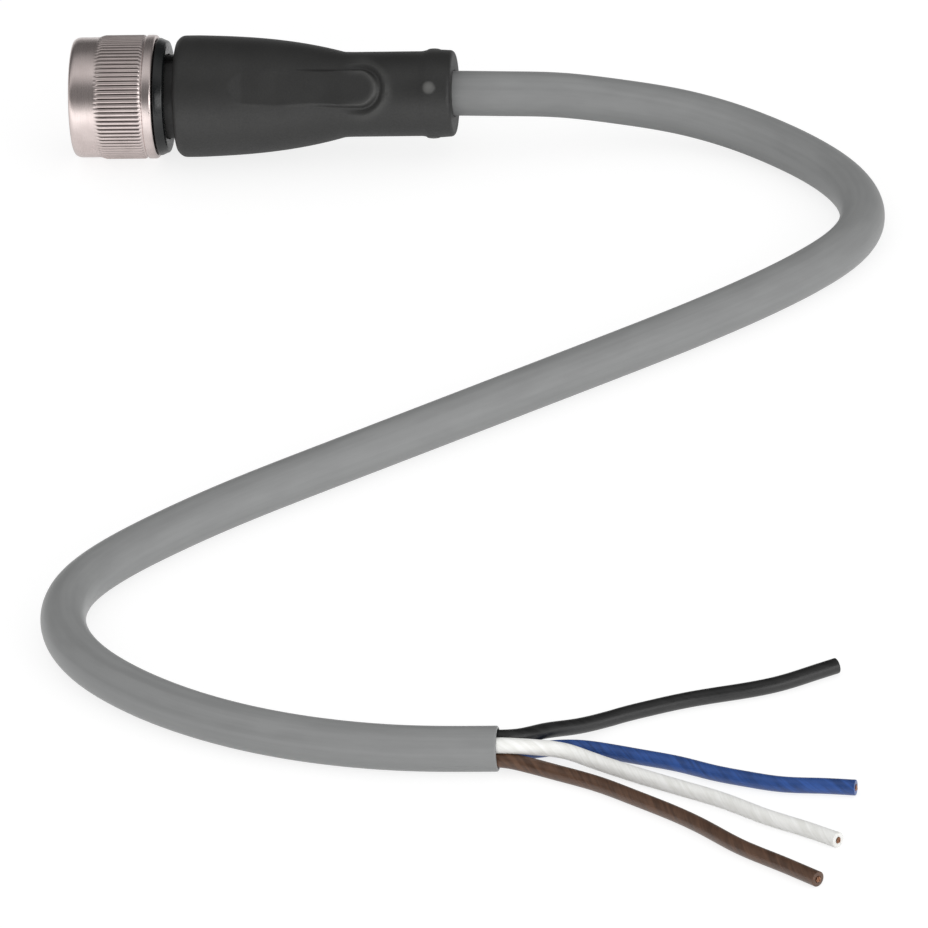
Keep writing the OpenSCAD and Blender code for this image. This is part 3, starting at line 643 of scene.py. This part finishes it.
def nickelPlatedBrass():
    # turned brass under bright nickel: turning lines round the axis streak the reflections, the
    # rolled knurl is duller, and its roots are painted darker as shade in the grooves, so the
    # crests read brighter.
    # The feed of a finishing cut, 0.05 mm, is too fine to show and is drawn 0.09 mm wide.
    material, tree, shader = newMaterial("nickelPlatedTurnedBrass", {"Metallic": 1.0})
    lines = pattern(tree, 0.09, 3.0, stretch=(1, 60, 60))
    root, knurl = (addNode(tree, "ShaderNodeAttribute", attribute_name=name).outputs["Fac"]
                   for name in ("root", "knurl"))
    plate = addNode(tree, "ShaderNodeValToRGB", None, {"Fac": pattern(tree, 2.2)},
                    stops=[(0.3, "#d3c6c3"), (0.7, "#e1d4d1")]).outputs["Color"]
    # painted shade: the colour falls to #564e4c in the knurl's grooves
    tone = addNode(tree, "ShaderNodeMix", {7: hexColour("#564e4c")}, {0: root, 6: plate},
                   data_type="RGBA").outputs[2]
    dull = addNode(tree, "ShaderNodeMath", {1: 0.14}, {0: knurl}, operation="MULTIPLY")
    finishSurface(tree, shader, tone, lines, (0.18, 0.30), 0.004, dull.outputs[0])
    return material


def mouldedPlastic(name, dark, light, roughness, grainMm, grainDepth, paintedHighlight=None, index=1.5):
    # moulded plastic: an even colour with faint flow clouds 4 mm wide and a fine matt mould
    # texture. The real grain, 0.03 to 0.1 mm, is too fine to show and is drawn grainMm wide.
    # The paler colour mixed in by the mesh's share is a painted highlight on the dots and the
    # pads' edges.
    material, tree, shader = newMaterial(name, {"IOR": index})
    grain = pattern(tree, grainMm, 3.0)
    tone = addNode(tree, "ShaderNodeValToRGB", None, {"Fac": pattern(tree, 4.0)},
                   stops=[(0.35, dark), (0.65, light)]).outputs["Color"]
    if paintedHighlight:
        # painted highlight: the paler colour is laid over the tone where the mesh's share says
        highlightMask = addNode(tree, "ShaderNodeAttribute", attribute_name="highlightShare").outputs["Fac"]
        tone = addNode(tree, "ShaderNodeMix", {7: hexColour(paintedHighlight)}, {0: highlightMask, 6: tone},
                       data_type="RGBA").outputs[2]
    finishSurface(tree, shader, tone, grain, (roughness - 0.06, roughness + 0.06), grainDepth)
    return material


def extrudedVinyl(name, dark, light, roughness, streakMm, depth):
    # PVC drawn through a die: faint streaks run the whole length, 0.7 mm apart on the sheath and
    # 0.3 mm on the cores, over a slightly uneven skin whose marks are 2.5 streaks wide
    material, tree, shader = newMaterial(name, {"IOR": 1.53})
    streaks = pattern(tree, streakMm, stretch=(60, 1, 1), attribute="straight")
    skin = pattern(tree, streakMm * 2.5, stretch=(3, 1, 1), attribute="straight")
    both = addNode(tree, "ShaderNodeMath", None, {0: streaks, 1: skin}, operation="ADD")
    half = addNode(tree, "ShaderNodeMath", {1: 0.5}, {0: both.outputs[0]},
                   operation="MULTIPLY").outputs[0]
    tone = addNode(tree, "ShaderNodeValToRGB", None, {"Fac": half},
                   stops=[(0.38, dark), (0.62, light)]).outputs["Color"]
    finishSurface(tree, shader, tone, half, (roughness - 0.05, roughness + 0.07), depth)
    return material


def drawnMetal(name, dark, light, roughness, lineMm):
    # drawn or turned metal: fine lines and a slightly uneven colour. The die's lines, 0.01 mm,
    # are too fine to show and are drawn lineMm wide.
    material, tree, shader = newMaterial(name, {"Metallic": 1.0})
    lines = pattern(tree, lineMm, stretch=(1, 8, 8))
    tone = addNode(tree, "ShaderNodeValToRGB", None, {"Fac": lines},
                   stops=[(0.3, dark), (0.7, light)]).outputs["Color"]
    finishSurface(tree, shader, tone, lines, (roughness - 0.05, roughness + 0.08), 0.003)
    return material


nickel = nickelPlatedBrass()
nylon = mouldedPlastic("glossyMouldedNylon", "#090c0d", "#0d1112", 0.24, 0.3, 0.004)
carrierPlastic = mouldedPlastic("mouldedPbt", "#1d1f21", "#232527", 0.42, 0.2, 0.004)
rubber = mouldedPlastic("mouldedNitrileRubber", "#1b1b1c", "#232324", 0.6, 0.15, 0.006)
mouldPlastic = mouldedPlastic("mouldedPolyamide", "#343434", "#3c3c3c", 0.5, 0.2, 0.004)
# the grip's dots and pad edges get #5e5e5c as a painted highlight
polyurethane = mouldedPlastic("erodedMouldPolyurethane", "#181817", "#1e1e1d", 0.55, 0.22, 0.02,
                              paintedHighlight="#5e5e5c", index=1.65)
gold = drawnMetal("goldPlatedTurnedBronze", "#c99a41", "#e2b659", 0.24, 0.05)
copper = drawnMetal("drawnCopperWire", "#85604b", "#a87d63", 0.36, 0.06)
sheath = extrudedVinyl("greyExtrudedVinyl", "#888989", "#909191", 0.46, 0.7, 0.02)
insulation = {
    "brown": extrudedVinyl("brownExtrudedVinyl", "#432b1b", "#5f422f", 0.4, 0.3, 0.012),
    "white": extrudedVinyl("whiteExtrudedVinyl", "#ecece8", "#fafaf8", 0.4, 0.3, 0.012),
    "blue": extrudedVinyl("blueExtrudedVinyl", "#183b74", "#27519a", 0.4, 0.3, 0.012),
    "black": extrudedVinyl("blackExtrudedVinyl", "#070707", "#1a1a1a", 0.4, 0.3, 0.012),
}
print("materials made")

dress(cable, sheath, "body", "cable")
for colour, (core, line, length) in cores.items():
    dress(core, insulation[colour], "body", "wire_" + colour)
    dress(strands[colour], copper, "body", "conductor_" + colour)
dress(nut, nickel, "nut", "coupling_nut")
dress(ring, nylon, "ring", "detent_ring")
dress(grip, polyurethane, "body", "grip")

# the solids that stay as they are, out of sight but for the carrier and the contacts
kept = {"contact_carrier": carrierPlastic, "retaining_ring": carrierPlastic,
        "seal_ring": rubber, "inner_mould": mouldPlastic}
kept.update({f"contact_{n}": gold for n in (1, 2, 3, 4)})
kept.update({"core_" + colour: insulation[colour] for colour in insulation})
for node, material in kept.items():
    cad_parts[node].material_slots[0].material = material
print("pieces dressed")

studio = dict(
    ambient=0.66, tableGlow=0.79, tableColour="#989898", tableBounce=0.55, tableSize=2.4,
    # two lamps: energy, size and place; the second one also shows in the gloss
    keyLamp=(1.9, (0.9, 0.35), (0.0, -0.95, 0.22)),
    edgeLamp=(1.7, (0.62, 0.36), (0.62, -0.52, 0.2)),
    lampAim=(0.03, -0.03, 0),
    # what a gloss sees above it, by degrees from the near horizon over the top to the far one
    skyLevels=[(0, 0.95), (9, 0.6), (20, 0.2), (48, 0.2), (60, 0.5), (72, 0.76), (88, 0.68),
               (100, 0.5), (112, 0.36), (126, 0.16), (158, 0.12), (172, 0.35), (180, 0.5)],
    # what it sees on the table, by metres towards the far side: a glow painted darker under the
    # piece as its shadow
    tableLevels=[(-0.07, 1.0), (-0.034, 1.1), (-0.019, 0.78), (-0.011, 0.55), (-0.004, 0.42),
                 (0.01, 0.34), (0.06, 0.4)],
)


def levels(tree, value, stops):
    # a curve of straight stretches through (value, level) pairs: a ramp of the levels as shares
    # of the highest one, times that one
    low, high, top = stops[0][0], stops[-1][0], max(level for _, level in stops)
    place = addNode(tree, "ShaderNodeMapRange", {"From Min": low, "From Max": high},
                    {"Value": value}).outputs["Result"]
    marks = [((at - low) / (high - low), (*[level / top] * 3, 1)) for at, level in stops]
    curve = addNode(tree, "ShaderNodeValToRGB", None, {"Fac": place}, stops=marks)
    return addNode(tree, "ShaderNodeMath", {1: top}, {0: curve.outputs["Color"]},
                   operation="MULTIPLY").outputs[0]


def seenPlainly(tree):
    # 1 where the camera looks at it, straight or through something clear
    ray = addNode(tree, "ShaderNodeLightPath").outputs
    return addNode(tree, "ShaderNodeMath", None, {0: ray["Is Camera Ray"],
                   1: ray["Is Transmission Ray"]}, operation="MAXIMUM").outputs[0]


def addWorld():
    # white for the camera, an even grey for the light, and soft boxes for reflections by
    # degrees = arctangent of (height, distance towards the near side)
    world = bpy.data.worlds.new("studioWorld")
    bpy.context.scene.world = world
    world.use_nodes = True
    tree = world.node_tree
    tree.nodes.clear()
    way = addNode(tree, "ShaderNodeSeparateXYZ", None,
                  {0: addNode(tree, "ShaderNodeTexCoord").outputs["Generated"]}).outputs
    near = addNode(tree, "ShaderNodeMath", {1: -1.0}, {0: way["Y"]}, operation="MULTIPLY")
    angle = addNode(tree, "ShaderNodeMath", None, {0: way["Z"], 1: near.outputs[0]},
                    operation="ARCTAN2")
    degrees = addNode(tree, "ShaderNodeMath", None, {0: angle.outputs[0]}, operation="DEGREES")
    level = levels(tree, degrees.outputs[0], studio["skyLevels"])
    even = addNode(tree, "ShaderNodeBackground",
                   {"Color": (1, 1, 1, 1), "Strength": studio["ambient"]})
    boxes = addNode(tree, "ShaderNodeBackground", {"Color": (1, 1, 1, 1)}, {"Strength": level})
    white = addNode(tree, "ShaderNodeBackground", {"Color": (1, 1, 1, 1), "Strength": 1.0})
    glossy = addNode(tree, "ShaderNodeLightPath").outputs["Is Glossy Ray"]
    lit = addNode(tree, "ShaderNodeMixShader", None,
                  {0: glossy, 1: even.outputs[0], 2: boxes.outputs[0]})
    whole = addNode(tree, "ShaderNodeMixShader", None,
                    {0: seenPlainly(tree), 1: lit.outputs[0], 2: white.outputs[0]})
    addNode(tree, "ShaderNodeOutputWorld", None, {"Surface": whole.outputs[0]})


def addFloor():
    # a pale table: it glows white for the camera and keeps a soft shadow; in reflections its
    # glow falls off under the piece as a painted shadow
    half = studio["tableSize"] / 2
    mesh = bpy.data.meshes.new("floor")
    mesh.from_pydata([(-half, -half, surfaceZ), (half, -half, surfaceZ),
                      (half, half, surfaceZ), (-half, half, surfaceZ)], [], [(0, 1, 2, 3)])
    floor = bpy.data.objects.new("floor", mesh)
    bpy.context.scene.collection.objects.link(floor)
    material, tree, shader = newMaterial("paleMattTable", {"Roughness": 1.0, "IOR": 1.0})
    seen = seenPlainly(tree)
    bounce = studio["tableBounce"]
    shade = addNode(tree, "ShaderNodeMix", {6: (bounce, bounce, bounce, 1),
                    7: hexColour(studio["tableColour"])}, {0: seen}, data_type="RGBA")
    tree.links.new(shade.outputs[2], shader.inputs["Base Color"])
    # painted shadow: the glow that reflections see is dimmer under the piece
    depth = addNode(tree, "ShaderNodeSeparateXYZ", None,
                    {0: addNode(tree, "ShaderNodeTexCoord").outputs["Object"]}).outputs["Y"]
    mirrored = addNode(tree, "ShaderNodeMath", None,
                       {0: addNode(tree, "ShaderNodeLightPath").outputs["Is Glossy Ray"],
                        1: levels(tree, depth, studio["tableLevels"])}, operation="MULTIPLY")
    glow = addNode(tree, "ShaderNodeMath", {1: studio["tableGlow"]},
                   {0: seen, 2: mirrored.outputs[0]}, operation="MULTIPLY_ADD")
    shader.inputs["Emission Color"].default_value = (1, 1, 1, 1)
    tree.links.new(glow.outputs[0], shader.inputs["Emission Strength"])
    mesh.materials.append(material)


def addLamp(name, glossy):
    # a soft rectangle aimed at the connector
    energy, size, place = studio[name]
    data = bpy.data.lights.new(name, "AREA")
    data.shape = "RECTANGLE"
    data.size, data.size_y = size
    data.energy = energy
    lamp = bpy.data.objects.new(name, data)
    lamp.location = place
    aim = Vector(studio["lampAim"]) - lamp.location
    lamp.rotation_euler = aim.to_track_quat("-Z", "Y").to_euler()
    lamp.visible_glossy = glossy
    bpy.context.scene.collection.objects.link(lamp)


addWorld()
addFloor()
addLamp("keyLamp", glossy=False)
addLamp("edgeLamp", glossy=True)
bpy.context.scene.view_settings.view_transform = "Standard"

print("studio set")
